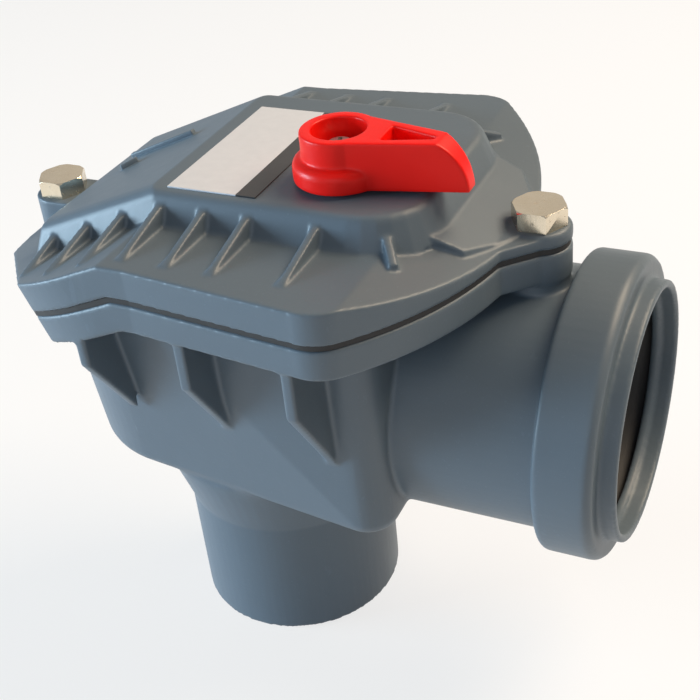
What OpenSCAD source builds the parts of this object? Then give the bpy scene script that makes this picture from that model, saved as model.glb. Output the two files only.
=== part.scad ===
// Angle backwater valve for a drain pipe: socket inlet on +X, spigot outlet straight down.
// The origin is the centre of the spigot's end face, +Z is up, lengths are millimetres.

/* [Spigot] */
// Outer radius of the outlet spigot
spigot_r = 25; // [20:0.5:30]
// Wall of the spigot
spigot_wall = 2.1; // [1.6:0.1:3]
// Length of the straight spigot below its flare
spigot_len = 32; // [26:1:45]
// Height of the flare between spigot and chamber
flare_h = 15; // [12:0.5:20]
// How much the flare widens
flare_grow = 4.5; // [2:0.5:5.5]

/* [Chamber] */
// Distance of the inlet wall from the spigot axis
box_right = 42; // [41:0.5:45]
// Half width of the chamber at the inlet wall, at the bottom
box_foot_half = 33.8; // [32.5:0.1:36]
// Half width of the chamber below the flange
box_half = 36.4; // [35:0.1:37.5]
// Radius of the round outer end at the bottom
end_foot_r = 27; // [25:0.5:30]
// Place of that end's centre at the bottom, left of the spigot axis
end_foot_x = 18.5; // [16:0.5:21]
// Place of that end's centre below the flange
end_x = 12; // [10:0.5:14]
// Wall of the chamber
box_wall = 2.8; // [2:0.1:3.2]
// Radius of the upright corners at the inlet wall
box_corner = 7; // [5:0.5:10]
// Rounding of the bottom edge
box_edge = 3; // [1:0.25:4]

/* [Flange and lid outline] */
// Height of the body flange's top above the spigot's end
flange_top = 105.7; // [100:0.1:115]
// Thickness of the body flange
flange_t = 6.5; // [5:0.1:9]
// Thickness of the lid gasket
gasket_t = 1.2; // [0.8:0.1:2]
// Height of the lid's rim above the gasket
rim_t = 6.7; // [5:0.1:9]
// Half width of the outline at the bend, and radius of the round outer end
plan_half = 45.7; // [44.5:0.1:48]
// Widening of the outline towards the inlet, per mm
plan_taper = 0.105; // [0.06:0.005:0.12]
// Radius of the bowed inlet end
plan_inlet_r = 67; // [65:0.5:70]
// Place of that end's centre, left of the spigot axis
plan_inlet_x = 4.6; // [3:0.1:6]
// Radius of the corners at the inlet end
plan_corner = 9; // [6:0.5:12]
// Distance from the bend to the centre of the round outer end
plan_outer_x = 8.3; // [7:0.1:10]
// Where the lid and the flange bend down, left of the spigot axis
bend_x = 8.5; // [7:0.5:10]
// Slope of the bent part
bend_angle = 22.5; // [20:0.5:24]
// Width of the sealing land between gasket edge and opening
land_w = 10.5; // [9.5:0.5:12]
// Thickness of the lid's plate
plate_t = 4; // [3:0.1:5]

/* [Flange gussets] */
// Spacing of the gussets below the flange
gusset_pitch = 24.8; // [22:0.1:26]
// Place of the middle gusset
gusset_x = 7.2; // [4:0.1:10]
// Thickness of a gusset
gusset_t = 2.5; // [1.5:0.1:4]
// Height of a gusset's outer edge
gusset_edge = 11; // [6:0.5:14]
// Steepness of a gusset's sloped edge
gusset_lean = 1.55; // [1.2:0.05:2]

/* [Lid platform] */
// Height of the platform above the rim
platform_h = 6.4; // [5:0.1:8]
// Half width of the platform's flat top
platform_half = 24; // [21:0.5:26]
// Distance from the spigot axis to the platform's inlet end
platform_right = 47; // [44:0.5:50]
// Where the platform's top bends down, left of the spigot axis
platform_bend = 6.2; // [4:0.2:9]
// Distance from the spigot axis to the platform's outer end
platform_left = 41; // [38:0.5:43]
// Slope of the platform's bent part
platform_angle = 22.5; // [18:0.5:24]
// Spread of the platform's sides from top to rim
platform_flank = 4.5; // [2:0.5:6]
// Rounding of the platform's top edge
platform_round = 2; // [1:0.1:3]
// Radius of the platform's inlet corners
platform_corner = 11; // [6:0.5:14]
// Wall of the hollow platform
platform_wall = 3; // [2.2:0.1:4]
// Spacing of the lid's ribs
rib_pitch = 9.9; // [8:0.1:12]
// Place of the rib nearest the spigot axis
rib_x = 5; // [3:0.1:7]
// Thickness of a rib
rib_t = 1.8; // [1.2:0.1:2.6]
// Distance of the ribs' ends from the rim's edge
rib_inset = 3.5; // [2:0.5:8]

/* [Bolts] */
// Distance of the outer bolt from the spigot axis
bolt_outer_x = 50.9; // [49.5:0.1:52]
// Distance of the inlet bolt from the spigot axis
bolt_inlet_x = 65.1; // [63:0.1:67]
// Height of the outer bolt's seat above the sloped rim
outer_seat_up = 6.4; // [5.6:0.1:8]
// Depth of the inlet bolt's seat below the rim
inlet_seat_drop = 3.7; // [2:0.1:4.2]
// Radius of the bolts' shank
bolt_r = 3; // [2.5:0.1:3.5]
// Width of bolt heads and nuts across flats
hex_af = 10; // [8:0.1:11]
// Height of a bolt head
head_h = 4; // [3:0.1:5]
// Height of a nut
nut_h = 5; // [4:0.1:5.4]
// Radius of the bolt ears
ear_r = 6.6; // [6.4:0.1:7.5]
// Half width of the inlet ear where it leaves the outline
ear_root = 15.5; // [12:0.5:18]
// Gap between bolt and hole
bolt_gap = 0.3; // [0.1:0.05:0.5]

/* [Socket] */
// Height of the socket's axis above the spigot's end
socket_z = 68.6; // [66:0.1:70]
// Inner radius of the insertion wall
socket_r = 25.25; // [24:0.05:26]
// Outer radius of the socket pipe
pipe_r = 28.4; // [27.4:0.1:29.5]
// Outer radius of the bead round the seal
bead_r = 32.4; // [31.4:0.1:34]
// Width of the bead
bead_w = 12; // [10:0.5:14]
// Distance from the spigot axis to the socket's mouth
mouth_x = 88.6; // [84:0.1:96]
// Length of the mouth collar
collar_w = 4; // [3:0.1:6]
// Outer radius of the mouth collar
collar_r = 27.6; // [27.4:0.1:28.5]
// Clearance between the collar and a pipe
collar_gap = 0.65; // [0.4:0.05:0.9]
// Depth of the stop shoulder behind the inlet wall
stop_depth = 3; // [2.5:0.5:6]

/* [Flap] */
// Radius of the seat bore
seat_r = 18; // [16:0.5:18.5]
// Width of the seat's face
seat_w = 2.8; // [2:0.1:3]
// Height of the seat's axis above the socket's axis
seat_up = 2.4; // [2:0.1:2.8]
// How far the seat stands into the chamber
seat_out = 6.2; // [5.6:0.1:6.8]
// Height of the hinge above the seat's axis
hinge_up = 25; // [24.8:0.1:25.4]
// Distance of the hinge from the seat's face
hinge_back = 2; // [1.6:0.1:2.2]
// Radius of the hinge pin
pin_r = 2; // [1.5:0.1:2.2]
// Running clearance of pin and spindle
run_gap = 0.06; // [0.03:0.01:0.09]
// Thickness of the flap's plate
flap_t = 3.5; // [2.5:0.1:4]
// Thickness of the sealing ring
seal_t = 2.8; // [2.2:0.1:3.2]
// Radius of the hinge barrels
barrel_r = 3.3; // [3:0.1:3.4]
// Height of the lock tail above the hinge
tail_h = 5.2; // [5:0.1:5.4]
// Gap between seal and seat, and between moving neighbours
play = 0.2; // [0.15:0.05:0.3]

/* [Lock] */
// Place of the spindle along the lid
spindle_x = 28.5; // [27.5:0.1:29]
// Place of the spindle towards the front
spindle_front = 10.5; // [9.5:0.1:11]
// Radius of the spindle
spindle_r = 4; // [3.6:0.1:4.4]
// Reach of the lock finger from the spindle axis
finger_reach = 6; // [5.9:0.05:6.3]
// Radius of the lock finger
finger_r = 1.5; // [1.2:0.1:1.6]
// Height of the lever
lever_h = 10.4; // [9:0.1:12]
// Radius of the lever's barrel
lever_r = 7.8; // [7:0.1:8.6]
// Radius of the collar at the lever's foot
lever_foot_r = 9.8; // [9:0.1:10.6]
// Height of that collar
lever_foot_h = 5; // [4:0.1:6]
// Radius of the well in the lever
well_r = 5.5; // [4.6:0.1:6]
// Depth of the well
well_depth = 5.8; // [5:0.1:6.2]
// Reach of the blade's lower tip from the spindle axis
blade_reach = 27; // [24:0.5:32]
// Thickness of the blade's tip
blade_tip = 3.5; // [2.5:0.1:5]
// Radius of the blade's rounded nose
blade_nose = 11.3; // [10.6:0.1:13]

/* [Label] */
// Width of the label along the lid
label_w = 20; // [10:0.5:20.5]
// Length of the label across the lid
label_l = 40.5; // [30:0.5:41]
// Thickness of the label
label_t = 0.3; // [0.1:0.05:0.5]

/* [Hidden] */
$fn = 64;
eps = 0.01;
far = 200;
hull_fn = 28;

box_z = spigot_len + flare_h;
floor_z = box_z + box_wall - 0.7;
lid_z = flange_top + gasket_t;
rim_z = lid_z + rim_t;
top_z = rim_z + platform_h;
inlet_seat_z = rim_z - inlet_seat_drop;
bend_tan = tan(bend_angle);
platform_tan = tan(platform_angle);
grey = "#7d858b";
rubber = "#1b1b1c";
zinc = "#c9b98c";
red = "#d8190d";

seat_z = socket_z + seat_up;
seat_x = box_right - box_wall - seat_out;
seat_outer_r = seat_r + seat_w;
hinge_x = seat_x - hinge_back;
hinge_z = seat_z + hinge_up;
seal_face = seat_x - play;
flap_face = seal_face - seal_t;
flap_r = seat_outer_r + 0.3;
arm_in = 6.5;
arm_out = 14.2;
tail_t = 3;
tail_back = 2;
tail_in = 8;
tail_out = 12.5;
lug_in = arm_out + 0.3;
lug_t = 5;
clip_t = 0.8;
pin_half = lug_in + lug_t + 2.2;
plate_r = seat_r - 1.7;
web_r = 12;
web_t = 1;
screw_r = 1.4;
screw_ring = 8;

groove_r = bead_r - 3.1;
groove_w = bead_w - 4;
bead_x = mouth_x - collar_w - bead_w + 0.3;
groove_x = bead_x + 2;

crank_t = 3.2;
washer_t = 1.2;
boss_z = lid_z + 0.5;
crank_top = boss_z - washer_t - 2 * eps;
finger_low = hinge_z + barrel_r + 0.5;
lever_z = top_z + 0.3;
square_w = spindle_r * 1.4;
square_h = 3.1;
well_z = lever_z + lever_h - well_depth;
screw_washer_t = 0.6;

half_tan = tan(bend_angle / 2);
blend = 0.05;
taper_x = 6 - bend_x;
outer_seat_z = bent(rim_z, -bolt_outer_x) + outer_seat_up;

// Where a surface bends, for its height on the flat part
function bend_at(z) = -bend_x + (rim_z - z) * half_tan;
// Height of a bent surface at x, for its height on the flat part
function bent(z, x) = z - max(0, bend_at(z) - x) * bend_tan;
function platform_top(x) = top_z + min(0, x + platform_bend) * platform_tan;
function plan_at(x) = plan_half + plan_taper * max(0, x - taper_x);

// Everything between two bent surfaces
module bent_slab(low, high) {
  side_cut([[bend_at(low) - far * cos(bend_angle), low - far * sin(bend_angle)], [bend_at(low), low],
    [far, low], [far, high], [bend_at(high), high],
    [bend_at(high) - far * cos(bend_angle), high - far * sin(bend_angle)]], -far, far);
}

// Moves a flat plate down into the slope of the bent part
module sloped() {
  translate([-bend_x, 0, rim_z]) rotate([0, -bend_angle, 0]) translate([bend_x, 0, -rim_z]) children();
}

// Centre of a corner's circle of radius r, which touches the straight side and the bowed end
function corner_centre(d, r) =
  let (s = sqrt(1 + pow(plan_taper, 2)), c = -plan_inlet_x,
    a = -(plan_half - plan_taper * taper_x - d) + r * s, m = c + a * plan_taper,
    q = pow(m, 2) - s * s * (c * c + a * a - pow(plan_inlet_r - d - r, 2)),
    x = (m + sqrt(q)) / (s * s))
  [x, a - plan_taper * x];

// Outline of lid, gasket and flange, drawn in by d
module plan(d = 0) {
  r = max(plan_corner - d, 3);
  at = corner_centre(d, r);
  away = at + [plan_inlet_x, 0];
  end = away / norm(away);
  foot = [-plan_taper, -1] / norm([plan_taper, 1]);
  difference() {
    intersection() {
      polygon([[-far, -plan_half + d], [taper_x, -plan_half + d], [far, -plan_at(far) + d],
        [far, plan_at(far) - d], [taper_x, plan_half - d], [-far, plan_half - d]]);
      translate([-plan_inlet_x, 0]) circle(r = plan_inlet_r - d, $fn = 180);
      union() {
        translate([-bend_x - plan_outer_x, 0]) circle(r = plan_half - d + blend, $fn = 180);
        translate([-bend_x - plan_outer_x, -far]) square([2 * far, 2 * far]);
      }
    }
    for (side = [0, 1]) mirror([0, side])
      polygon([at, at + 2 * r * foot, at + 3 * r * (foot + end), at + 2 * r * end]);
  }
  for (side = [0, 1]) mirror([0, side]) translate(at) circle(r = r + blend);
}

// Ear of the inlet bolt, fanned out towards the lid, drawn in by d
module inlet_ear(d = 0) {
  r = ear_r - d;
  translate([bolt_inlet_x, 0]) circle(r = r);
  polygon([[bolt_inlet_x - 20, -ear_root + d], [bolt_inlet_x - 7, -ear_root + d], [bolt_inlet_x + r * 0.6, -r * 0.7],
    [bolt_inlet_x + r * 0.6, r * 0.7], [bolt_inlet_x - 7, ear_root - d], [bolt_inlet_x - 20, ear_root - d]]);
}

module bolt_holes() {
  for (x = [-bolt_outer_x, bolt_inlet_x])
    translate([x, 0, 0]) cylinder(r = bolt_r + bolt_gap, h = far);
}

// A plate of the outline between two bent surfaces, its edge square to each of its two parts
module bent_plate(low, high, d = 0, ear = true) {
  intersection() {
    union() {
      translate([0, 0, -far]) linear_extrude(height = 2 * far) union() {
        intersection() {
          plan(d);
          translate([-bend_x - 4, -far]) square([2 * far, 2 * far]);
        }
        if (ear) inlet_ear(d);
      }
      sloped() translate([0, 0, low - 1]) linear_extrude(height = high - low + 2) intersection() {
        plan(d + blend);
        translate([-bend_x - 2.2 - 2 * far, -far]) square([2 * far, 2 * far]);
      }
    }
    bent_slab(low, high);
  }
}

module along_x(x, z, len, r) {
  translate([x, 0, z]) rotate([0, 90, 0]) cylinder(r = r, h = len, $fn = 96);
}

module across_y(x, z, y0, y1, r) {
  translate([x, y1, z]) rotate([90, 0, 0]) cylinder(r = r, h = y1 - y0);
}

// Prism along Y with an outline in X and Z
module side_cut(points, y0, y1) {
  translate([0, y1, 0]) rotate([90, 0, 0]) linear_extrude(height = y1 - y0) polygon(points);
}

module hex(af, h) {
  cylinder(r = af / sqrt(3), h = h, $fn = 6);
}

// One layer of the chamber's outline, drawn in by d
module box_layer(z, d) {
  rise = (z - box_z) / (flange_top - flange_t - box_z);
  half = box_foot_half + (box_half - box_foot_half) * rise;
  end = end_foot_r + (box_half - end_foot_r) * rise;
  corner = box_corner - min(d, box_corner - 1);
  translate([-end_foot_x + (end_foot_x - end_x) * rise, 0, z]) cylinder(r = end - d, h = eps, $fn = 72);
  for (side = [-1, 1]) translate([box_right - d - corner, side * (half - d - corner), z])
    cylinder(r = corner, h = eps, $fn = hull_fn);
}

module chamber(d, low, high) {
  hull() {
    for (a = [0, 30, 60]) box_layer(low + box_edge * (1 - cos(a)), d + box_edge * (1 - sin(a)));
    box_layer(low + box_edge, d);
    box_layer(high, d);
  }
}

module gusset(x) {
  outer = plan_at(x) - 0.8;
  mid = flange_top - flange_t - gusset_edge;
  inner = box_half - 4;
  for (side = [0, 1]) mirror([0, side, 0])
    translate([x + gusset_t / 2, 0, 0]) rotate([0, -90, 0]) linear_extrude(height = gusset_t)
      polygon([[mid - gusset_lean * (outer - inner), inner], [mid, outer], [flange_top - 1, outer],
        [flange_top - 1, inner]]);
}

// Flange, chamber and gussets, all below the bent flange top
module body_shell() {
  bent_plate(flange_top - flange_t, flange_top);
  intersection() {
    union() {
      chamber(0, box_z, flange_top);
      for (i = [-1:1]) gusset(gusset_x + i * gusset_pitch);
    }
    bent_slab(-far, flange_top - eps);
  }
  intersection() {
    translate([-bolt_outer_x, 0, outer_nut_z()]) cylinder(r = hex_af / sqrt(3) + 2, h = far / 4);
    bent_slab(-far, flange_top - eps);
  }
  translate([bolt_inlet_x, 0, socket_z + pipe_r - 2])
    cylinder(r = ear_r - 0.3, h = flange_top - socket_z - pipe_r + 1);
}

module body_pipes() {
  cylinder(r = spigot_r, h = box_z + 1);
  translate([0, 0, spigot_len]) cylinder(r1 = spigot_r, r2 = spigot_r + flare_grow, h = flare_h + 0.5);
  along_x(box_right - box_wall, socket_z, mouth_x - collar_w - box_right + box_wall, pipe_r);
  translate([bead_x, 0, socket_z]) rotate([0, 90, 0]) rotate_extrude($fn = 96) {
    translate([0, 1]) square([bead_r, bead_w - 3]);
    square([bead_r - 1, bead_w]);
    translate([bead_r - 1, 1]) circle(r = 1, $fn = 32);
    translate([bead_r - 2, bead_w - 2]) circle(r = 2, $fn = 48);
  }
  along_x(mouth_x - collar_w - 1, socket_z, collar_w + 1, collar_r);
}

// Lugs that carry the hinge pin, grown on the inlet wall
module hinge_lugs() {
  for (side = [0, 1]) mirror([0, side, 0]) {
    across_y(hinge_x, hinge_z, lug_in, lug_in + lug_t, barrel_r);
    translate([hinge_x, lug_in, hinge_z - barrel_r])
      cube([box_right - box_wall / 2 - hinge_x, lug_t, 2 * barrel_r]);
  }
}

module body() {
  color(grey) difference() {
    union() {
      difference() {
        union() {
          body_shell();
          body_pipes();
        }
        chamber(box_wall, floor_z, flange_top + 1);
      }
      along_x(seat_x, seat_z, box_right - seat_x, seat_outer_r);
      hinge_lugs();
    }
    translate([0, 0, -1]) cylinder(r = spigot_r - spigot_wall, h = floor_z + 2);
    along_x(seat_x - 1, seat_z, box_right + stop_depth - seat_x + 2, seat_r);
    along_x(box_right + stop_depth, socket_z, mouth_x, socket_r);
    along_x(groove_x, socket_z, groove_w, groove_r);
    along_x(mouth_x - collar_w, socket_z, collar_w + 1, socket_r + collar_gap);
    across_y(hinge_x, hinge_z, -pin_half, pin_half, pin_r + run_gap / 2);
    outer_nut_cut();
    inlet_nut_cut();
  }
}

// Hole and hexagonal pocket below the outer bolt
module outer_nut_cut() {
  translate([-bolt_outer_x, 0, outer_nut_z() - 1]) cylinder(r = bolt_r + bolt_gap, h = far);
  translate([-bolt_outer_x, 0, outer_nut_z() - 1]) hex(hex_af + bolt_gap, nut_h + 1);
}

// Hole and side slot for the nut below the inlet bolt, open to the back
module inlet_nut_cut() {
  low = inlet_nut_z() - bolt_gap / 2;
  translate([bolt_inlet_x, 0, inlet_nut_z() - 0.8]) cylinder(r = bolt_r + bolt_gap, h = far);
  translate([bolt_inlet_x, 0, low]) linear_extrude(height = nut_h + bolt_gap) {
    rotate([0, 0, 30]) circle(r = (hex_af + bolt_gap) / sqrt(3), $fn = 6);
    translate([-hex_af / 2, -0.5]) square([hex_af, 3 * ear_r]);
  }
}

function outer_nut_z() = bent(flange_top - flange_t, -bolt_outer_x) - nut_h;
function inlet_nut_z() = flange_top - nut_h - 1.2;

// One layer of the platform at a height over its own bent top, drawn in by d
module platform_layer(drop, d) {
  corner = platform_corner + platform_flank - d;
  side = platform_half + platform_flank - d;
  right = platform_right + platform_flank - d;
  left = platform_left - d * 0.5;
  for (s = [-1, 1]) {
    translate([right - corner, s * (side - corner), top_z - drop])
      cylinder(r = corner, h = eps, $fn = hull_fn);
    translate([-platform_bend, s * (side - 2), top_z - drop]) cylinder(r = 2, h = eps, $fn = hull_fn);
    translate([-left + 2, s * (side - 3), platform_top(-left + 2) - drop])
      cylinder(r = 2, h = eps, $fn = hull_fn);
  }
}

module platform(d, low) {
  hull() {
    for (a = [0, 22.5, 45, 67.5]) platform_layer(low + platform_round * (1 - cos(a)),
      platform_flank + d - platform_round * sin(a));
    platform_layer(platform_h + 1, d);
  }
}

// Triangular rib between platform and rim, on both sides
module rib(x) {
  low = bent(rim_z, x);
  past = min(0, (x + bend_x) / cos(bend_angle) + plan_outer_x);
  outer = min(plan_at(x), sqrt(pow(plan_half, 2) - pow(past, 2))) - rib_inset;
  for (side = [0, 1]) mirror([0, side, 0])
    translate([x + rib_t / 2, 0, 0]) rotate([0, -90, 0]) linear_extrude(height = rib_t)
      polygon([[low - 1, platform_half - 4], [platform_top(x) - 1.4, platform_half - 1],
        [low + 0.3, outer], [low - 1, outer]]);
}

// Slanted rib at the platform's inlet corners
module corner_rib() {
  for (side = [0, 1]) mirror([0, side, 0])
    translate([platform_right - platform_corner, platform_half - platform_corner, 0])
      rotate([0, 0, 57]) translate([0, rib_t / 2, 0]) rotate([90, 0, 0]) linear_extrude(height = rib_t)
        polygon([[0, rim_z - 1], [platform_corner - 1, top_z - 1.6],
          [platform_corner + 9, rim_z + 0.2], [platform_corner + 9, rim_z - 1]]);
}

// Outline of the tongue between platform and inlet bolt
module tongue_plan() {
  r = ear_r - 0.5;
  polygon([[platform_right - 14, -21], [bolt_inlet_x - 9, -18], [bolt_inlet_x - 2, -0.9 * r],
    [bolt_inlet_x - 2, 0.9 * r], [bolt_inlet_x - 9, 18], [platform_right - 14, 21]]);
  translate([bolt_inlet_x, 0]) circle(r = r);
}

// Flat tongue that runs from the platform's end down to the inlet bolt's seat
module tongue() {
  intersection() {
    translate([0, 0, lid_z]) linear_extrude(height = far) tongue_plan();
    side_cut([[0, lid_z], [0, rim_z + 3.6], [platform_right - 4, rim_z + 3.6],
      [bolt_inlet_x - 5, inlet_seat_z], [far, inlet_seat_z], [far, lid_z]], -far, far);
  }
}

// What the dipping inlet end of the lid leaves free above it
module inlet_dip() {
  side_cut([[platform_right - 4, rim_z + eps], [bolt_inlet_x - 5, inlet_seat_z - 0.6], [far, inlet_seat_z - 0.6],
    [far, far], [platform_right - 4, far]], -far, far);
}

// Raised seat of the outer bolt, joined to the platform's end
module outer_seat() {
  intersection() {
    union() {
      translate([-bolt_outer_x, 0, 0]) cylinder(r = ear_r, h = outer_seat_z);
      translate([-bolt_outer_x, -ear_r, 0]) cube([bolt_outer_x - platform_left + 4, 2 * ear_r, outer_seat_z]);
    }
    bent_slab(lid_z, far);
  }
}

// Raised flow mark on the platform's bent part: a long and a short bar
module flow_mark() {
  translate([-platform_bend, 0, top_z]) rotate([0, -platform_angle, 0]) translate([0, 0, -0.3])
    linear_extrude(height = 1.6) {
      polygon([[-30, 5.9], [-11.7, 7.5], [-11.7, 9.1], [-30, 7.5]]);
      polygon([[-27.1, -1.8], [-23.9, 1], [-24.9, 2], [-28.1, -0.8]]);
    }
}

module lid() {
  color(grey) difference() {
    union() {
      difference() {
        union() {
          difference() {
            bent_plate(lid_z, rim_z);
            inlet_dip();
          }
          intersection() {
            platform(0, 0);
            bent_slab(lid_z, far);
          }
          for (i = [-4:1]) rib(rib_x + i * rib_pitch);
          rib(rib_x + 2.5 * rib_pitch);
          corner_rib();
          tongue();
          outer_seat();
          flow_mark();
        }
        bent_plate(lid_z - rim_t, rim_z - plate_t, land_w + 1, false);
        platform(platform_wall, platform_wall);
      }
      translate([spindle_x, -spindle_front, boss_z])
        cylinder(r = 2 * spindle_r, h = top_z - boss_z - 1);
    }
    translate([spindle_x, -spindle_front, 0]) cylinder(r = spindle_r + run_gap, h = far);
    bolt_holes();
  }
}

module lid_gasket() {
  color(rubber) difference() {
    bent_plate(flange_top, lid_z, 0.4);
    bent_plate(flange_top - 1, lid_z + 1, land_w, false);
    bolt_holes();
  }
}

module label() {
  color("#eceae6") translate([-platform_bend + 1.7, -platform_half + 0.8, top_z + eps])
    cube([label_w, label_l, label_t]);
}

// Hex bolt standing on its seat, with a chamfered head
module bolt(x, seat, len) {
  translate([x, 0, seat]) {
    intersection() {
      hex(hex_af, head_h);
      cylinder(r1 = hex_af / sqrt(3) + head_h * 0.9, r2 = hex_af * 0.5, h = head_h + 0.25);
    }
    translate([0, 0, -len]) cylinder(r = bolt_r, h = len + 1);
  }
}

module lid_bolt_outer() {
  color(zinc) bolt(-bolt_outer_x, outer_seat_z,
    outer_seat_z - outer_nut_z() + 1);
}

module lid_bolt_inlet() {
  color(zinc) bolt(bolt_inlet_x, inlet_seat_z, inlet_seat_z - inlet_nut_z() + 0.3);
}

module nut() {
  difference() {
    hex(hex_af, nut_h);
    translate([0, 0, -1]) cylinder(r = bolt_r + run_gap / 2, h = nut_h + 2);
  }
}

module lid_nuts() {
  color(zinc) {
    translate([-bolt_outer_x, 0, outer_nut_z()]) nut();
    translate([bolt_inlet_x, 0, inlet_nut_z()]) rotate([0, 0, 30]) nut();
  }
}

// Lip ring in the groove of the bead
module socket_seal() {
  lip = socket_r - 0.12;
  back = groove_r - 0.1;
  deep = back - lip;
  color(rubber) translate([groove_x + 0.1, 0, socket_z]) rotate([0, 90, 0]) rotate_extrude($fn = 96)
    polygon([[back, 0], [back, groove_w - 0.2], [back - 0.4 * deep, groove_w - 0.2],
      [lip + 0.3 * deep, 0.72 * groove_w], [lip, 0.3 * groove_w], [lip, 0.15 * groove_w],
      [lip + 0.25 * deep, 0.07 * groove_w], [back - 0.35 * deep, 0]]);
}

module flap() {
  color("#62686c") difference() {
    union() {
      along_x(flap_face - flap_t, seat_z, flap_t, flap_r);
      for (side = [0, 1]) mirror([0, side, 0]) {
        across_y(hinge_x, hinge_z, arm_in, arm_out, barrel_r);
        translate([flap_face - flap_t, arm_in, seat_z]) cube([flap_t, tail_out - arm_in, hinge_up]);
        translate([flap_face - flap_t - 2, arm_in + 1, seat_z - flap_r * 0.6])
          cube([2 + eps, 2, flap_r * 0.6 + hinge_up - 5]);
      }
      translate([hinge_x - tail_back, -tail_out, hinge_z]) cube([tail_t, tail_out - tail_in, tail_h]);
    }
    across_y(hinge_x, hinge_z, -far / 2, far / 2, pin_r + run_gap);
    screw_places() cylinder(r = screw_r + run_gap / 2, h = far, center = true);
  }
}

// Where the three screws of the seal plate sit, with +Z along the flap's normal
module screw_places() {
  for (a = [90, 210, 330])
    translate([0, screw_ring * cos(a), seat_z + screw_ring * sin(a)]) rotate([0, 90, 0]) children();
}

module flap_seal() {
  color(rubber) difference() {
    union() {
      along_x(flap_face, seat_z, web_t, plate_r + 0.2);
      difference() {
        along_x(flap_face, seat_z, seal_t, flap_r);
        along_x(flap_face + web_t, seat_z, seal_t, plate_r + 0.1);
      }
    }
    along_x(flap_face - 1, seat_z, seal_t + 2, web_r);
  }
}

module seal_plate() {
  color("#9aa0a4") difference() {
    union() {
      along_x(flap_face, seat_z, web_t, web_r - 0.1);
      along_x(flap_face + web_t, seat_z, seal_t - web_t, plate_r);
    }
    screw_places() cylinder(r = screw_r + bolt_gap, h = far, center = true);
  }
}

module flap_screws() {
  color(zinc) screw_places() {
    translate([0, 0, flap_face - flap_t + 0.2]) cylinder(r = screw_r, h = flap_t + seal_t);
    translate([0, 0, flap_face + seal_t]) difference() {
      cylinder(r = 2 * screw_r, h = 1.5);
      translate([-far, -0.4, 0.8]) cube([2 * far, 0.8, 2]);
    }
  }
}

module hinge_pin() {
  color(zinc) difference() {
    across_y(hinge_x, hinge_z, -pin_half, pin_half, pin_r);
    for (side = [0, 1]) mirror([0, side, 0]) clip_ring(pin_r - 0.4, pin_r + 1, clip_t + 0.1);
  }
}

// Ring round the pin just outside a lug
module clip_ring(inner, outer, width) {
  translate([hinge_x, lug_in + lug_t + 0.1 + width, hinge_z]) rotate([90, 0, 0]) difference() {
    cylinder(r = outer, h = width);
    translate([0, 0, -1]) cylinder(r = inner, h = width + 2);
  }
}

module hinge_clips() {
  color(zinc) for (side = [0, 1]) mirror([0, side, 0]) difference() {
    clip_ring(pin_r - 0.35, 2 * pin_r, clip_t);
    translate([hinge_x - pin_r * 0.6, lug_in, hinge_z - far]) cube([pin_r * 1.2, far, far]);
  }
}

// Lock spindle with its crank, finger, seal grooves and square top, turned to rest
module spindle() {
  color("#8d9398") translate([spindle_x, -spindle_front, 0]) difference() {
    union() {
      translate([0, 0, crank_top - crank_t]) cylinder(r = spindle_r, h = lever_z - crank_top + crank_t - 0.1);
      translate([0, 0, crank_top - crank_t]) cylinder(r = spindle_r + 1.6, h = crank_t);
      translate([-finger_r - 0.6, -finger_reach, crank_top - crank_t])
        cube([2 * finger_r + 1.2, finger_reach, crank_t]);
      translate([0, -finger_reach, crank_top - crank_t]) cylinder(r = finger_r + 0.6, h = crank_t);
      translate([0, -finger_reach, finger_low]) cylinder(r = finger_r, h = crank_top - crank_t - finger_low + 1);
      translate([-square_w / 2, -square_w / 2, lever_z - 1]) cube([square_w, square_w, square_h + 1]);
    }
    for (z = o_ring_heights()) translate([0, 0, z]) difference() {
      cylinder(r = spindle_r + 1, h = 1.2, center = true);
      cylinder(r = spindle_r - 1, h = 2, center = true);
    }
    translate([0, 0, lever_z + square_h - 8]) cylinder(r = 1.5, h = 20);
  }
}

function o_ring_heights() = [boss_z + 3, top_z - 3];

module spindle_o_rings() {
  color(rubber) translate([spindle_x, -spindle_front, 0]) for (z = o_ring_heights())
    translate([0, 0, z]) rotate_extrude() translate([spindle_r - 0.47, 0]) circle(r = 0.5, $fn = 32);
}

module thrust_washer() {
  color("#dfe2e2") translate([spindle_x, -spindle_front, crank_top + eps]) difference() {
    cylinder(r = 1.75 * spindle_r, h = washer_t);
    translate([0, 0, -1]) cylinder(r = spindle_r + 0.1, h = washer_t + 2);
  }
}

// Side view of the blade: flat top and bottom, rounded nose
module blade_profile() {
  translate([0, spindle_front, lever_z + 0.5]) rotate([90, 0, 0]) linear_extrude(height = far, center = true)
    intersection() {
      square([blade_reach, lever_h - 0.5]);
      union() {
        square([blade_reach - blade_nose, lever_h]);
        translate([blade_reach - blade_nose, 0]) circle(r = blade_nose, $fn = 96);
      }
    }
}

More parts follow.
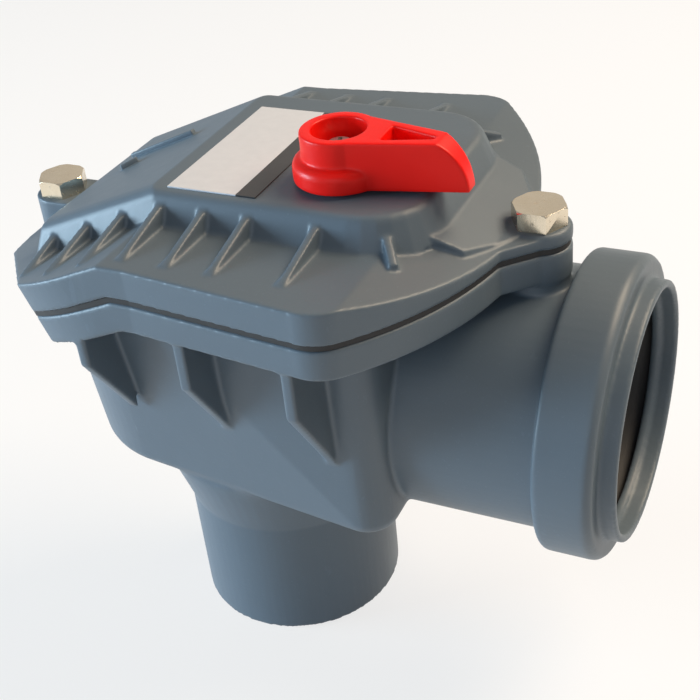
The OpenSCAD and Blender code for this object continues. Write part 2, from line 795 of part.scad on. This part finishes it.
module lever() {
  side = lever_r - 0.3;
  root = lever_r + 2.2;
  color(red) translate([spindle_x, -spindle_front, 0]) difference() {
    union() {
      translate([0, 0, lever_z]) cylinder(r = lever_r, h = lever_h);
      translate([0, 0, lever_z]) rotate_extrude() {
        square([lever_foot_r - 1.8, lever_foot_h]);
        translate([0, 0.4]) square([lever_foot_r, lever_foot_h - 2.2]);
        translate([lever_foot_r - 1.8, lever_foot_h - 1.8]) circle(r = 1.8, $fn = 48);
      }
      intersection() {
        translate([0, 0, lever_z]) linear_extrude(height = lever_h)
          polygon([[0, -side], [blade_reach, -blade_tip / 2], [blade_reach, blade_tip / 2], [0, side]]);
        blade_profile();
      }
    }
    translate([0, 0, well_z]) cylinder(r = well_r, h = lever_h);
    translate([0, 0, lever_z + lever_h - 3]) linear_extrude(height = lever_h)
      polygon([[root, -lever_r * 0.42], [blade_reach - 7, -0.5], [blade_reach - 7, 0.5], [root, lever_r * 0.42]]);
    translate([-square_w / 2 - 0.05, -square_w / 2 - 0.05, lever_z - 1])
      cube([square_w + 0.1, square_w + 0.1, square_h + 1.05]);
    translate([0, 0, lever_z]) cylinder(r = 1.7, h = lever_h);
  }
}

module lever_screw() {
  color("#cfc8bd") translate([spindle_x, -spindle_front, 0]) difference() {
    union() {
      translate([0, 0, lever_z + square_h - 7]) cylinder(r = 1.47, h = well_z - lever_z - square_h + 8);
      translate([0, 0, well_z + screw_washer_t]) cylinder(r = 3.2, h = 1.4);
      translate([0, 0, well_z + screw_washer_t + 1.4]) cylinder(r1 = 3.2, r2 = 2.2, h = 0.9);
    }
    for (a = [0, 90]) rotate([0, 0, a + 20])
      translate([-1.9, -0.4, well_z + screw_washer_t + 1]) cube([3.8, 0.8, 3]);
  }
}

module screw_washer() {
  color("#cfc8bd") translate([spindle_x, -spindle_front, well_z]) difference() {
    cylinder(r = 3.8, h = screw_washer_t);
    translate([0, 0, -1]) cylinder(r = 1.7, h = 3);
  }
}

body();
lid();
lid_gasket();
label();
lid_bolt_outer();
lid_bolt_inlet();
lid_nuts();
socket_seal();
flap();
flap_seal();
seal_plate();
flap_screws();
hinge_pin();
hinge_clips();
spindle();
spindle_o_rings();
thrust_washer();
lever();
lever_screw();
screw_washer();
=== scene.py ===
import math

import bpy
from mathutils import Matrix, Vector


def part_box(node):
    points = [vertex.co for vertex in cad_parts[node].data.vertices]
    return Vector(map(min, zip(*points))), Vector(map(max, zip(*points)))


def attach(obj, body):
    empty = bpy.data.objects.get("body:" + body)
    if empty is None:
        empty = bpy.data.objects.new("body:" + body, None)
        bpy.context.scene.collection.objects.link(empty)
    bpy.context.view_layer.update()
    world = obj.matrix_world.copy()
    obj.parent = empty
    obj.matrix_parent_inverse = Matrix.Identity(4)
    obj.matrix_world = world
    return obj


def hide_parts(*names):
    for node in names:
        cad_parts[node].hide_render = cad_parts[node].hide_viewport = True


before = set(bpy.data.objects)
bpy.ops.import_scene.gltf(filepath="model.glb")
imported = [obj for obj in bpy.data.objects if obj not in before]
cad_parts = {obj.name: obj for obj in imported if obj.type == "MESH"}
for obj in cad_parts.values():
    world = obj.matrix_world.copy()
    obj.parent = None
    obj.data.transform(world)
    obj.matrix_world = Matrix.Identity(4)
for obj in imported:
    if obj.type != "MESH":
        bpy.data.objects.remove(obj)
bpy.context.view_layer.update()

MM = 0.001

# The photograph's camera: its lens, its turn, and where it sees the middle of the spigot's end
PHOTO_SIDE = 700
LENS_PIXELS = 1228.3
CAMERA_YAW = 27.98
CAMERA_PITCH = 33.65
CAMERA_ROLL = 6.17
ORIGIN_PIXEL = (304.8, 556.9)
ORIGIN_DEPTH = 327.1 * MM
SENSOR = 36.0
NEAREST_SEEN = 10 * MM

# The bend of lid and flange, the slope beyond it, and the round end's middle and flattened reach
RIM_BEND = Vector((-8.5, 0, 113.6)) * MM
BEND_ANGLE = 22.5
ROUND_END = 8.3 * MM
FLAT_REACH = 42.3 * MM
CUTTER_SIDE = 40 * MM

# The raised flow mark on the platform's slope, in mm: start, end and width of each bar
PLATFORM_BEND = Vector((-6.2, 0, 120)) * MM
FLOW_BARS = (
    ((-30, 6.7), (-11.7, 8.3), 1.7),
    ((-27.6, -1.3), (-24.4, 1.5), 1.6),
)
FLOW_BAR_MIDDLE = 1.1 * MM
FLOW_BAR_HEIGHT = 2.0 * MM
FLOW_BAR_EDGE = 0.35 * MM

# Where the flare runs into the chamber's wall: a box, in mm, on the side of positive y
FLARE_LOW = (-16, 21, 43.5)
FLARE_HIGH = (10, 34, 50)

# Broken edges of small CAD pieces
EDGE_WIDTHS = {"lid_bolt_outer": 0.25 * MM, "lid_bolt_inlet": 0.25 * MM, "flap": 0.4 * MM}
EDGE_ANGLE = 32
EDGE_SEGMENTS = 2

# Lamps: place, size, watts and tone
LAMP_AIM = (0.01, 0, 0.07)
LAMPS = {
    "window": ((-0.86, -0.42, 0.15), (0.45, 0.55), 17.5, (0.62, 0.84, 1.0)),
    "ceiling": ((0.42, 0.34, 0.72), (0.55, 0.45), 8.8, (1.0, 0.80, 0.58)),
    "back": ((-0.32, 0.62, 0.46), (0.5, 0.3), 0.12, (1.0, 0.82, 0.58)),
    "front": ((0.10, -0.80, 0.35), (0.5, 0.4), 1.0, (0.86, 0.93, 1.0)),
}

# Floor and surroundings: how much of the pale background the camera and mirrored rays see
FLOOR_SIDE = 6
FLOOR_DROP = 0.2 * MM
FLOOR_TONE = (0.86, 0.84, 0.81, 1)
FLOOR_GLOW = 0.75
ROOM_TONE = (0.62, 0.66, 0.72, 1)
ROOM_STRENGTH = 0.19
BACKDROP_TONE = (0.79, 0.79, 0.79, 1)
MIRRORED_SHARE = 0.4


def camera_axes():
    """Right, down and forward of the camera, in the object's frame."""
    yaw, pitch, roll = (math.radians(a) for a in (CAMERA_YAW, CAMERA_PITCH, CAMERA_ROLL))
    level = Vector((math.cos(yaw), math.sin(yaw), 0))
    forward = Vector((-math.sin(yaw) * math.cos(pitch),
                      math.cos(yaw) * math.cos(pitch),
                      -math.sin(pitch)))
    plumb = forward.cross(level)
    right = level * math.cos(roll) + plumb * math.sin(roll)
    down = plumb * math.cos(roll) - level * math.sin(roll)
    return right, down, forward


def add_camera():
    right, down, forward = camera_axes()
    across, below = ((p - PHOTO_SIDE / 2) * ORIGIN_DEPTH / LENS_PIXELS for p in ORIGIN_PIXEL)
    place = -(right * across + down * below + forward * ORIGIN_DEPTH)
    data = bpy.data.cameras.new("photo_camera")
    data.sensor_width = SENSOR
    data.lens = LENS_PIXELS / PHOTO_SIDE * SENSOR
    data.clip_start = NEAREST_SEEN
    camera = bpy.data.objects.new("photo_camera", data)
    turn = Matrix((right, -down, -forward)).transposed().to_4x4()
    camera.matrix_world = Matrix.Translation(place) @ turn
    bpy.context.scene.collection.objects.link(camera)
    bpy.context.scene.camera = camera


# Shader writing

class Wire:
    """A shader value that takes part in sums like a number."""

    def __init__(self, board, socket):
        self.board, self.socket = board, socket

    def _sum(self, operation, first, second):
        return self.board.add("ShaderNodeMath", {"operation": operation}, {0: first, 1: second})

    def __add__(self, other):
        return self._sum("ADD", self, other)

    __radd__ = __add__

    def __sub__(self, other):
        return self._sum("SUBTRACT", self, other)

    def __rsub__(self, other):
        return self._sum("SUBTRACT", other, self)

    def __mul__(self, other):
        return self._sum("MULTIPLY", self, other)

    __rmul__ = __mul__

    def __truediv__(self, other):
        return self._sum("DIVIDE", self, other)

    def above(self, limit):
        return self._sum("GREATER_THAN", self, limit)


class Board:
    """A node tree that nodes are added to."""

    def __init__(self, tree):
        self.tree = tree

    def feed(self, socket, value):
        if isinstance(value, Wire):
            self.tree.links.new(value.socket, socket)
        else:
            socket.default_value = value

    def add(self, kind, settings=None, inputs=None, output=0):
        """A node of a kind, with its settings, then its inputs; gives one of its outputs."""
        node = self.tree.nodes.new(kind)
        for key, value in (settings or {}).items():
            setattr(node, key, value)
        for key, value in (inputs or {}).items():
            self.feed(node.inputs[key], value)
        return Wire(self, node.outputs[output])

    def ray(self, kind):
        """One where a ray is of that kind, such as Is Camera Ray."""
        return self.add("ShaderNodeLightPath", output=kind)


class Finish(Board):
    """One material and the nodes that make it."""

    def __init__(self, name, **fixed):
        self.material = bpy.data.materials.new(name)
        self.material.use_nodes = True
        super().__init__(self.material.node_tree)
        self.shader = self.tree.nodes["Principled BSDF"]
        for socket, value in fixed.items():
            self.shader.inputs[socket.replace("_", " ")].default_value = value

    def place(self, scale=(1, 1, 1)):
        """The point on the piece, in metres, scaled."""
        point = self.add("ShaderNodeTexCoord", output="Object")
        return self.add("ShaderNodeMapping", {}, {"Vector": point, "Scale": scale})

    def noise(self, size, detail=3.0, rough=0.55, scale=(1, 1, 1)):
        """Cloudy noise with patches of about that size, in metres."""
        return self.add("ShaderNodeTexNoise", {},
                        {"Vector": self.place(scale), "Scale": 1 / size,
                         "Detail": detail, "Roughness": rough}, "Fac")

    def blend(self, factor, first, second):
        """A colour between two colours."""
        return self.add("ShaderNodeMix", {"data_type": "RGBA"},
                        {0: factor, 6: first, 7: second}, 2)

    def bump(self, height, depth, strength=1.0, under=None):
        """A bumped normal, depth in metres."""
        inputs = {"Height": height, "Distance": depth, "Strength": strength}
        if under is not None:
            inputs["Normal"] = under
        return self.add("ShaderNodeBump", {}, inputs)

    def end(self, **links):
        for socket, value in links.items():
            self.feed(self.shader.inputs[socket.replace("_", " ")], value)
        return self.material


def shaded(tone, share):
    """A tone made lighter or darker by a share."""
    return (*(c * share for c in tone[:3]), 1)


# Finishes of this valve

def moulded_grey(name, tone, shade):
    """Satin injection-moulded plastic: faint clouds, fine grain and scuffs in the gloss."""
    finish = Finish(name, IOR=1.49)
    clouds = finish.noise(50 * MM, detail=4)
    specks = finish.noise(0.6 * MM, detail=2)
    scuffs = finish.noise(4 * MM, detail=6, rough=0.7, scale=(1, 1, 0.25))
    colour = finish.blend(clouds, shade, tone)
    colour = finish.blend(specks.above(0.68) * 0.25, colour, shaded(tone, 1.25))
    colour = finish.blend(scuffs.above(0.66) * 0.18, colour, shaded(tone, 1.35))
    rough = 0.34 + clouds * 0.12 + scuffs * 0.1
    grain = finish.noise(0.9 * MM)
    swell = finish.bump(finish.noise(12 * MM, detail=2), 0.25 * MM, strength=0.35)
    normal = finish.bump(grain, 0.04 * MM, strength=0.5, under=swell)
    return finish.end(Base_Color=colour, Roughness=rough, Normal=normal)


def red_moulding():
    """Semi-gloss red plastic with faint flow marks."""
    finish = Finish("red_moulding", IOR=1.45, Coat_Roughness=0.15, Specular_IOR_Level=0.24)
    clouds = finish.noise(12 * MM, detail=4)
    flow = finish.noise(3 * MM, detail=5, rough=0.65, scale=(0.3, 1, 1))
    colour = finish.blend(clouds, (0.80, 0.007, 0.004, 1), (0.90, 0.010, 0.006, 1))
    colour = finish.blend(flow.above(0.64) * 0.25, colour, (0.88, 0.025, 0.016, 1))
    swell = finish.bump(flow, 0.08 * MM, strength=0.4)
    normal = finish.bump(finish.noise(1.2 * MM), 0.03 * MM, strength=0.5, under=swell)
    return finish.end(Base_Color=colour, Roughness=0.3 + flow * 0.16,
                      Coat_Weight=0.02 + clouds * 0.08, Normal=normal)


def black_rubber():
    """Dull rubber with a faint bloom."""
    finish = Finish("black_rubber", IOR=1.5)
    bloom = finish.noise(6 * MM, detail=5, rough=0.65)
    colour = finish.blend(bloom, (0.010, 0.010, 0.011, 1), (0.032, 0.032, 0.034, 1))
    normal = finish.bump(finish.noise(0.4 * MM, detail=2), 0.03 * MM, strength=0.6)
    return finish.end(Base_Color=colour, Roughness=0.55 + bloom * 0.2, Normal=normal)


def plated_steel(name, tone, stain, rough):
    """Plated or plain steel: blotches of tone, fine drawing marks, dull spots."""
    finish = Finish(name)
    blotch = finish.noise(4 * MM, detail=5, rough=0.6)
    marks = finish.noise(0.5 * MM, rough=0.6, scale=(1, 1, 0.12))
    spots = finish.noise(1.1 * MM, detail=4, rough=0.7).above(0.64)
    colour = finish.blend(blotch, tone, stain)
    colour = finish.blend(spots * 0.5, colour, shaded(stain, 0.45))
    normal = finish.bump(marks, 0.03 * MM, strength=0.5)
    return finish.end(Base_Color=colour, Metallic=1 - spots * 0.35,
                      Roughness=rough + blotch * 0.14 + spots * 0.2, Normal=normal)


def white_nylon():
    """Milky plastic of the thrust washer."""
    finish = Finish("white_nylon", IOR=1.53)
    clouds = finish.noise(3 * MM)
    colour = finish.blend(clouds, (0.70, 0.69, 0.66, 1), (0.80, 0.79, 0.77, 1))
    normal = finish.bump(finish.noise(0.5 * MM, detail=2), 0.02 * MM, strength=0.5)
    return finish.end(Base_Color=colour, Roughness=0.4 + clouds * 0.1, Normal=normal)


def label_film():
    """Pale film with a plain dark band along its inlet side."""
    low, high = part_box("label")
    finish = Finish("label_film", IOR=1.48)
    across = finish.add("ShaderNodeSeparateXYZ", {}, {"Vector": finish.place()}, "X")
    share = (across - low.x) / (high.x - low.x)
    band = share.above(0.78)
    paper = finish.noise(2 * MM, detail=4)
    colour = finish.blend(paper, (0.58, 0.61, 0.67, 1), (0.66, 0.69, 0.75, 1))
    colour = finish.blend(band * 0.97, colour, (0.02, 0.02, 0.022, 1))
    normal = finish.bump(finish.noise(5 * MM), 0.06 * MM, strength=0.4)
    return finish.end(Base_Color=colour, Roughness=0.3 + paper * 0.1, Normal=normal)


def dress(material, *nodes):
    """Gives CAD pieces a material."""
    for node in nodes:
        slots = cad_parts[node].data.materials
        slots.clear()
        slots.append(material)


# Shaping

def choose(*pieces):
    """Selects these pieces alone; the first is the active one."""
    bpy.ops.object.select_all(action="DESELECT")
    for piece in pieces:
        piece.select_set(True)
    bpy.context.view_layer.objects.active = pieces[0]


def apply_modifier(piece, kind, **settings):
    change = piece.modifiers.new(kind.lower(), kind)
    for key, value in settings.items():
        setattr(change, key, value)
    bpy.ops.object.modifier_apply(modifier=change.name)


def break_edges(node, width):
    """Breaks the sharp edges of a small CAD piece."""
    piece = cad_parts[node]
    weld = piece.modifiers.new("merge", "WELD")
    weld.merge_threshold = 0.005 * MM
    edge = piece.modifiers.new("edge", "BEVEL")
    edge.width = width
    edge.segments = EDGE_SEGMENTS
    edge.limit_method = "ANGLE"
    edge.angle_limit = math.radians(EDGE_ANGLE)
    edge.use_clamp_overlap = True
    edge.miter_outer = "MITER_ARC"
    edge.harden_normals = True


def copy_piece(node, name):
    """A new piece with a CAD piece's mesh, its doubled points merged."""
    piece = bpy.data.objects.new(name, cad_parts[node].data.copy())
    bpy.context.scene.collection.objects.link(piece)
    choose(piece)
    bpy.ops.object.mode_set(mode="EDIT")
    bpy.ops.mesh.select_all(action="SELECT")
    bpy.ops.mesh.remove_doubles(threshold=0.002 * MM)
    bpy.ops.mesh.normals_make_consistent(inside=False)
    bpy.ops.object.mode_set(mode="OBJECT")
    return piece


def slope_at(bend):
    """The frame of a face that slopes down from a bend."""
    return Matrix.Translation(bend) @ Matrix.Rotation(math.radians(-BEND_ANGLE), 4, "Y")


def trim_round_end(piece):
    """Flattens the round outer end a little on both quarters, square to the slope."""
    middle = slope_at(RIM_BEND) @ Matrix.Translation((-ROUND_END, 0, 0))
    reach = Matrix.Translation((FLAT_REACH + CUTTER_SIDE / 2, 0, 0))
    for side in (-1, 1):
        turn = Matrix.Rotation(math.radians(180 - side * 45), 4, "Z")
        bpy.ops.object.select_all(action="DESELECT")
        bpy.ops.mesh.primitive_cube_add(size=CUTTER_SIDE)
        cutter = bpy.context.object
        cutter.matrix_world = middle @ turn @ reach
        choose(piece)
        apply_modifier(piece, "BOOLEAN", object=cutter, operation="DIFFERENCE", solver="EXACT")
        bpy.data.objects.remove(cutter)


def stand_for(piece, node, body):
    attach(piece, body)
    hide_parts(node)


def mould(node, body, step, rounds, keep, trimmed=False):
    """A casting of a CAD piece whose edges and corners are rounded as a mould rounds them."""
    piece = copy_piece(node, node + "_moulding")
    if trimmed:
        trim_round_end(piece)
    choose(piece)
    apply_modifier(piece, "REMESH", mode="VOXEL", voxel_size=step)
    apply_modifier(piece, "SMOOTH", factor=0.5, iterations=rounds)
    triangles = max(1, 2 * len(piece.data.polygons))
    apply_modifier(piece, "DECIMATE", ratio=min(1, keep / triangles))
    bpy.ops.object.shade_smooth()
    stand_for(piece, node, body)
    return piece


def smooth_patch(piece, low, high, rounds):
    """Smooths the part of a piece inside a box, and its mirror image on the other side."""
    choose(piece)
    bpy.ops.object.mode_set(mode="EDIT")
    bpy.ops.mesh.select_mode(type="VERT")
    bpy.ops.mesh.select_all(action="DESELECT")
    bpy.ops.object.mode_set(mode="OBJECT")
    for point in piece.data.vertices:
        place = (point.co.x, abs(point.co.y), point.co.z)
        point.select = all(a * MM < c < b * MM for a, c, b in zip(low, place, high))
    bpy.ops.object.mode_set(mode="EDIT")
    bpy.ops.mesh.vertices_smooth(factor=0.5, repeat=rounds)
    bpy.ops.object.mode_set(mode="OBJECT")


def add_flow_bar(start, end, width):
    """One raised bar of the flow mark, sunk a little into the lid."""
    start, end = Vector(start) * MM, Vector(end) * MM
    line, middle = end - start, (start + end) / 2
    bpy.ops.object.select_all(action="DESELECT")
    bpy.ops.mesh.primitive_cube_add(size=1)
    bar = bpy.context.object
    bar.matrix_world = (slope_at(PLATFORM_BEND)
                        @ Matrix.Translation((middle.x, middle.y, FLOW_BAR_MIDDLE))
                        @ Matrix.Rotation(math.atan2(line.y, line.x), 4, "Z")
                        @ Matrix.Diagonal((line.length, width * MM, FLOW_BAR_HEIGHT, 1)))
    bpy.ops.object.transform_apply(location=True, rotation=True, scale=True)
    apply_modifier(bar, "BEVEL", width=FLOW_BAR_EDGE, segments=3)
    return bar


def add_flow_mark(material):
    """Two raised bars on the sloped part of the lid, which give the way of the flow."""
    bars = [add_flow_bar(*bar) for bar in FLOW_BARS]
    choose(*bars)
    bpy.ops.object.join()
    bpy.ops.object.shade_smooth_by_angle(angle=math.radians(40))
    mark = bpy.context.object
    mark.name = "flow_mark"
    mark.data.materials.append(material)
    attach(mark, "housing")


# Floor, lamps and surroundings

def add_floor():
    bpy.ops.object.select_all(action="DESELECT")
    bpy.ops.mesh.primitive_plane_add(size=FLOOR_SIDE, location=(0, 0, -FLOOR_DROP))
    floor = bpy.context.object
    floor.name = "floor"
    finish = Finish("pale_floor", Roughness=0.9, Base_Color=FLOOR_TONE)
    shown = finish.ray("Is Camera Ray") + finish.ray("Is Glossy Ray")
    glow = finish.add("ShaderNodeEmission", {}, {"Color": (1, 1, 1, 1), "Strength": 1.0})
    plain = Wire(finish, finish.shader.outputs[0])
    mixed = finish.add("ShaderNodeMixShader", {}, {0: shown * FLOOR_GLOW, 1: plain, 2: glow})
    finish.feed(finish.tree.nodes["Material Output"].inputs["Surface"], mixed)
    floor.data.materials.append(finish.material)


def add_lamp(name, place, size, power, tone):
    data = bpy.data.lights.new(name, "AREA")
    data.shape = "RECTANGLE"
    data.size, data.size_y = size
    data.energy = power
    data.color = tone
    lamp = bpy.data.objects.new(name, data)
    place = Vector(place)
    turn = (Vector(LAMP_AIM) - place).to_track_quat("-Z", "Y").to_matrix().to_4x4()
    lamp.matrix_world = Matrix.Translation(place) @ turn
    bpy.context.scene.collection.objects.link(lamp)


def add_surroundings():
    """A dim room that lights the part, and a pale backdrop for what the camera sees."""
    world = bpy.data.worlds.new("studio")
    bpy.context.scene.world = world
    world.use_nodes = True
    board = Board(world.node_tree)
    mirrored = board.ray("Is Glossy Ray") + board.ray("Is Transmission Ray")
    shown = board.ray("Is Camera Ray") + mirrored * MIRRORED_SHARE
    room = board.tree.nodes["Background"]
    room.inputs["Color"].default_value = ROOM_TONE
    room.inputs["Strength"].default_value = ROOM_STRENGTH
    backdrop = board.add("ShaderNodeBackground", {}, {"Color": BACKDROP_TONE})
    mixed = board.add("ShaderNodeMixShader", {},
                      {0: shown, 1: Wire(board, room.outputs[0]), 2: backdrop})
    board.feed(board.tree.nodes["World Output"].inputs["Surface"], mixed)


bpy.context.scene.view_settings.view_transform = "Standard"
add_camera()
add_floor()
add_surroundings()
for lamp, (place, size, power, tone) in LAMPS.items():
    add_lamp(lamp, place, size, power, tone)

grey = moulded_grey("grey_moulding", (0.108, 0.146, 0.184, 1), (0.088, 0.120, 0.153, 1))
dark = moulded_grey("dark_moulding", (0.060, 0.068, 0.076, 1), (0.048, 0.055, 0.062, 1))
zinc = plated_steel("zinc_plated_steel", (0.84, 0.76, 0.62, 1), (0.74, 0.62, 0.45, 1), rough=0.17)
stainless = plated_steel("stainless_steel", (0.62, 0.61, 0.59, 1), (0.52, 0.51, 0.49, 1), rough=0.26)
dress(grey, "body", "lid")
dress(dark, "flap", "spindle")
dress(red_moulding(), "lever")
dress(black_rubber(), "lid_gasket", "socket_seal", "flap_seal", "spindle_o_rings")
dress(zinc, "lid_bolt_outer", "lid_bolt_inlet", "lid_nuts")
dress(stainless, "hinge_pin", "hinge_clips", "seal_plate", "flap_screws",
      "lever_screw", "screw_washer")
dress(white_nylon(), "thrust_washer")
dress(label_film(), "label")

body = mould("body", "housing",
             step=0.42 * MM, rounds=6, keep=180000, trimmed=True)
smooth_patch(body, FLARE_LOW, FLARE_HIGH, rounds=24)
mould("lid", "housing", step=0.36 * MM, rounds=6, keep=150000, trimmed=True)
gasket = copy_piece("lid_gasket", "lid_gasket_sheet")
trim_round_end(gasket)
stand_for(gasket, "lid_gasket", "housing")
add_flow_mark(grey)
mould("lever", "lock", step=0.2 * MM, rounds=24, keep=40000)
for node, width in EDGE_WIDTHS.items():
    break_edges(node, width)
